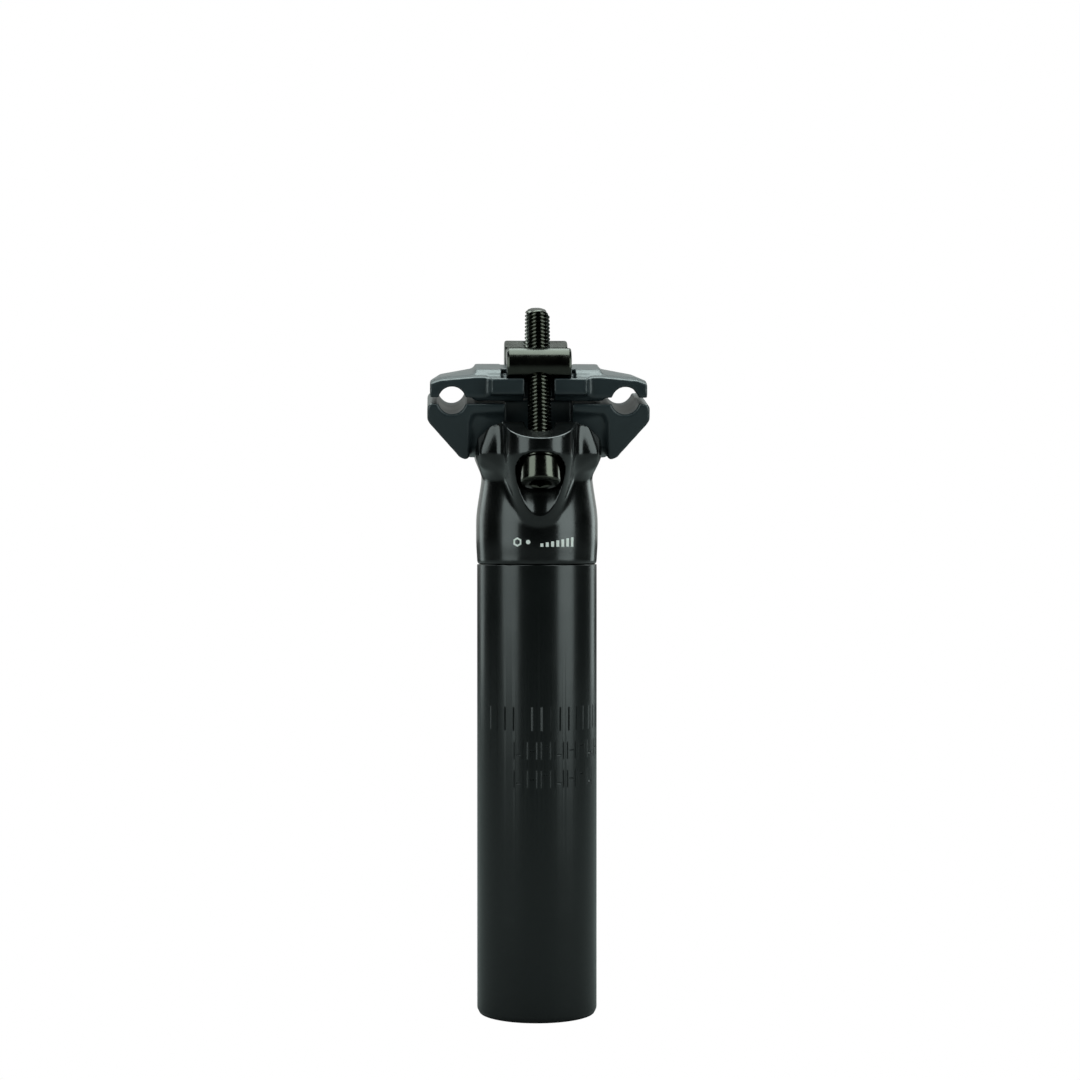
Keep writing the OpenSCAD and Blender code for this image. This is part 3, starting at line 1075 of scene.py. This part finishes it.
@dataclass
class BarrelNut:
    """A barrel nut with two flats and a countersunk, tapped hole through them."""

    end: End
    radius: float = 4.5
    length: float = 16.4
    flat: float = 3.65
    hole_r: float = 3.16
    sink: float = 0.55

    def build(self) -> None:
        """Makes the nut and puts it in its own body."""
        name = f"{self.end.word}_nut"
        half, r = self.length / 2, self.radius
        bm = fresh()
        revolve(bm, [
            (0.0, -half), (r - 0.75, -half), (r - 0.3, 0.12 - half), (r, 0.6 - half),
            (r, half - 0.6), (r - 0.3, half - 0.12), (r - 0.75, half), (0.0, half),
        ], steps=96)
        bmesh.ops.rotate(bm, verts=bm.verts, cent=(0, 0, 0), matrix=Matrix.Rotation(math.pi / 2, 3, "Y"))
        blank = Blank(bm, f"{name}_barrel")
        for sign in (-1, 1):
            flat = fresh()
            low, high = sorted((sign * self.flat, sign * (self.flat + 4)))
            block(flat, (-half - 1, -r - 1, low), (half + 1, r + 1, high), Matrix.Identity(4))
            blank.cut(flat)
        hole = fresh()
        revolve(hole, [
            (0.0, -self.flat - 1), (self.hole_r + self.sink + 1, -self.flat - 1),
            (self.hole_r, -self.flat + self.sink), (self.hole_r, self.flat - self.sink),
            (self.hole_r + self.sink + 1, self.flat + 1), (0.0, self.flat + 1),
        ], steps=64)
        blank.cut(hole)
        present(blank.finish(nut_axis(self.end), crease=28), OXIDE_NUT, name, "nut_steel", name)


# ---------------------------------------------------------------- studio


@dataclass(frozen=True)
class Softbox:
    """A soft studio light on a circle round the post."""

    name: str
    azimuth: float
    elevation: float
    distance: float
    width: float
    tall: float
    power: float

    def build(self, aim: Vector) -> None:
        """Hangs the light, facing a point.

        Args:
            aim: the point, in metres.
        """
        light = bpy.data.lights.new(self.name, "AREA")
        light.shape = "RECTANGLE"
        light.size, light.size_y, light.energy = self.width, self.tall, self.power
        light.color = linear("eefffd")[:3]
        lamp = bpy.data.objects.new(self.name, light)
        bpy.context.scene.collection.objects.link(lamp)
        a, e = math.radians(self.azimuth), math.radians(self.elevation)
        out = Vector((math.sin(a) * math.cos(e), -math.cos(a) * math.cos(e), math.sin(e)))
        lamp.location = aim + out * self.distance
        lamp.rotation_euler = (-out).to_track_quat("-Z", "Y").to_euler()


@dataclass
class Studio:
    """A pale floor, soft light and a nearly level camera in front of the post."""

    camera_distance: float = 0.608
    camera_z: float = 0.128
    camera_azimuth: float = -2.5
    pitch: float = 0.56
    lens: float = 78.4
    sensor: float = 36.0
    aside: float = 0.0008
    aim_z: float = 0.11
    floor_r: float = 8.0
    floor_drop: float = 0.0002
    dim_front: float = 0.005
    bright_back: float = 0.6
    boxes: tuple[Softbox, ...] = (
        Softbox("left_box", -55, 13, 0.9, 0.55, 1.1, 4.4),
        Softbox("right_box", 55, 13, 0.9, 0.55, 1.1, 5.5),
        Softbox("rear_left_strip", -132, 12, 0.9, 0.25, 1.1, 1.1),
        Softbox("rear_right_strip", 132, 12, 0.9, 0.25, 1.1, 1.3),
        Softbox("top_bank", 180, 82, 0.9, 1.1, 1.0, 18.0),
    )

    def _camera(self) -> None:
        """Sets the camera up."""
        a = math.radians(self.camera_azimuth)
        out = Vector((math.sin(a), -math.cos(a), 0))
        right = Vector((math.cos(a), math.sin(a), 0))
        data = bpy.data.cameras.new("camera")
        data.lens, data.sensor_width = self.lens, self.sensor
        data.clip_start, data.clip_end = 0.01, 50.0
        camera = bpy.data.objects.new("camera", data)
        bpy.context.scene.collection.objects.link(camera)
        camera.location = out * self.camera_distance + Vector((0, 0, self.camera_z))
        drop = self.camera_distance * math.tan(math.radians(self.pitch))
        aim = right * self.aside + Vector((0, 0, self.camera_z - drop))
        camera.rotation_euler = (aim - camera.location).to_track_quat("-Z", "Y").to_euler()
        bpy.context.scene.camera = camera

    def _floor(self) -> None:
        """Lays the floor, a wide round sheet of paper that is white to the eye and grey to the metal."""
        bm = fresh()
        bmesh.ops.create_circle(bm, cap_ends=True, segments=96, radius=self.floor_r)
        bmesh.ops.translate(bm, verts=bm.verts, vec=(0, 0, -self.floor_drop))
        mesh = bpy.data.meshes.new("floor")
        bm.to_mesh(mesh)
        bm.free()
        floor = bpy.data.objects.new("floor", mesh)
        bpy.context.scene.collection.objects.link(floor)
        material = bpy.data.materials.new("pale_paper")
        material.use_nodes = True
        shader = material.node_tree.nodes["Principled BSDF"]
        shader.inputs["Base Color"].default_value = linear("6e7170")
        shader.inputs["Roughness"].default_value = 0.9
        tree = material.node_tree
        glow = add_node(tree, "Emission", {"Color": linear("ffffff"), "Strength": 1.0})
        path = add_node(tree, "LightPath", {})
        both = add_node(tree, "MixShader", {
            0: path.outputs["Is Camera Ray"], 1: shader.outputs[0], 2: glow.outputs[0],
        })
        tree.links.new(both.outputs[0], tree.nodes["Material Output"].inputs["Surface"])
        mesh.materials.append(material)

    def _sky(self) -> None:
        """Makes the surroundings: white behind the post and dim in front of it, white to the eye."""
        world = bpy.data.worlds.new("studio")
        bpy.context.scene.world = world
        world.use_nodes = True
        tree = world.node_tree
        lit = tree.nodes["Background"]
        place = add_node(tree, "TexCoord", {})
        split = add_node(tree, "SeparateXYZ", {"Vector": place.outputs["Generated"]})
        behind = add_node(tree, "MapRange", {
            "Value": split.outputs["Y"], "From Min": 0.3, "From Max": 0.85,
            "To Min": self.dim_front, "To Max": self.bright_back,
        }, interpolation_type="SMOOTHSTEP")
        tree.links.new(behind.outputs["Result"], lit.inputs["Strength"])
        lit.inputs["Color"].default_value = linear("f3faf6")
        seen = add_node(tree, "Background", {"Color": linear("ffffff"), "Strength": 1.0})
        path = add_node(tree, "LightPath", {})
        both = add_node(tree, "MixShader", {
            0: path.outputs["Is Camera Ray"], 1: lit.outputs[0], 2: seen.outputs[0],
        })
        tree.links.new(both.outputs[0], tree.nodes["World Output"].inputs["Surface"])

    def build(self) -> None:
        """Makes the whole studio."""
        self._camera()
        self._floor()
        self._sky()
        for box in self.boxes:
            box.build(Vector((0, 0, self.aim_z)))
        bpy.context.scene.view_settings.view_transform = "Standard"


def washers() -> None:
    """Finishes the two hidden washers, whose shape in the frame is already right."""
    for end in End:
        washer = frame["nodes"][f"{end.word}_washer"]
        BLACK_OXIDE.dress(washer)
        LOG.info("%s: %s", washer.name, BLACK_OXIDE.name)


def main() -> None:
    """Builds the studio and the post."""
    logging.basicConfig(level=logging.INFO, format="%(name)s: %(message)s")
    Studio().build()
    Tube().build()
    Head().build()
    SkirtPrint().build()
    Cradle().build()
    UpperClamp().build()
    for end in End:
        CapScrew(end).build()
        BarrelNut(end).build()
    washers()


if __name__ == "__main__":
    main()
